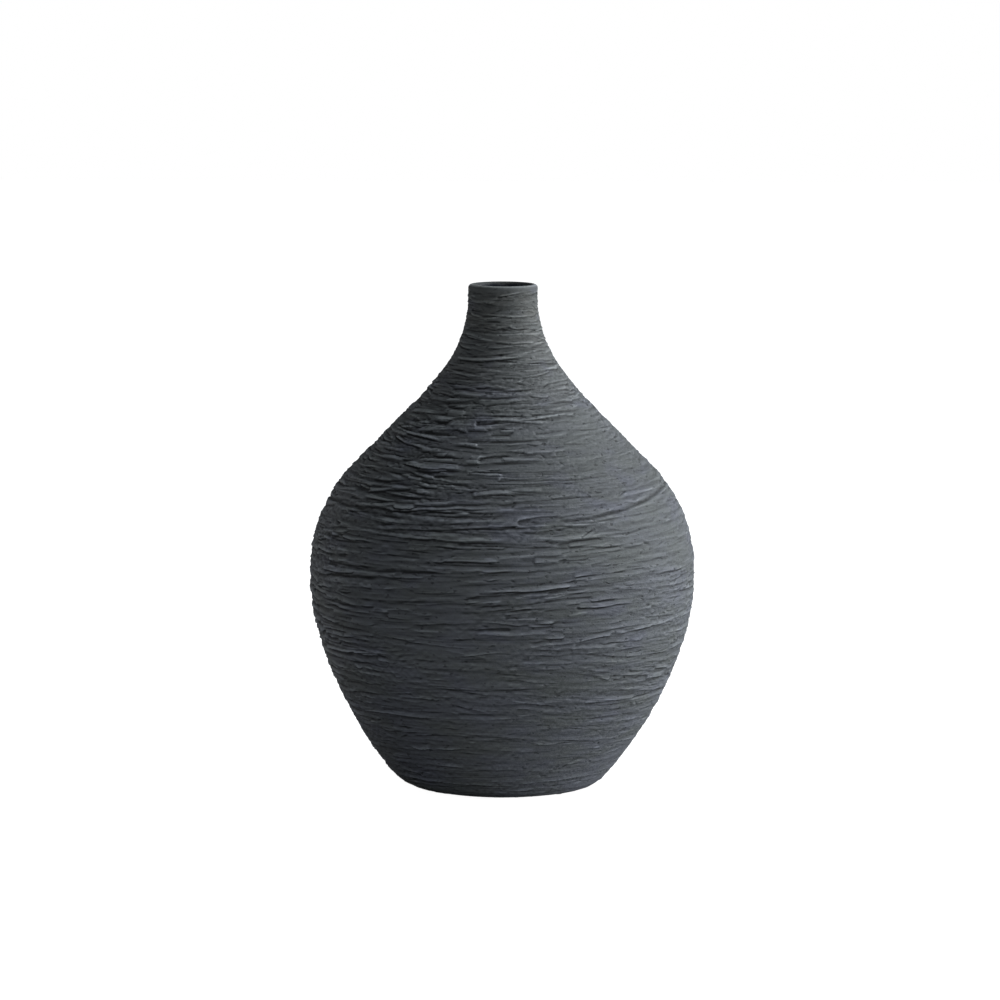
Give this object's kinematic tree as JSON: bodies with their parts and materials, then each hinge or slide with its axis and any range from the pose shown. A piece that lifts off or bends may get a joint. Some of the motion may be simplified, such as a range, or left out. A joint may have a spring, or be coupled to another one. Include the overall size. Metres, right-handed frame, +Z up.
{
  "type": "vase",
  "caption": "Tall stoneware bottle vase with a wide rounded belly, a narrow neck and a combed matte dark coat, for holding stems or standing as decoration.",
  "frame": {"origin": "centre of the foot ring, on the surface that the vase stands on", "axes": "+Z up along the axis that the vase was thrown on, from the foot to the mouth; the shape is the same all round, so +X and -Y are only conventions (-Y is the front)"},
  "size_m": [0.2294, 0.2294, 0.3],
  "materials": {
    "stoneware_clay": "matte",
    "joining_slip": "matte",
    "combed_coat": "matte",
    "lining_glaze": "gloss",
    "recess_glaze": "satin"
  },
  "bodies": {
    "root": {"lower_body": "stoneware_clay", "shoulder_joint_slip": "joining_slip", "shoulder_section": "stoneware_clay", "neck_joint_slip": "joining_slip", "neck_collar": "stoneware_clay", "textured_coat": "combed_coat", "liner_glaze": "lining_glaze", "recess_glaze": "recess_glaze"}
  },
  "joints": []
}
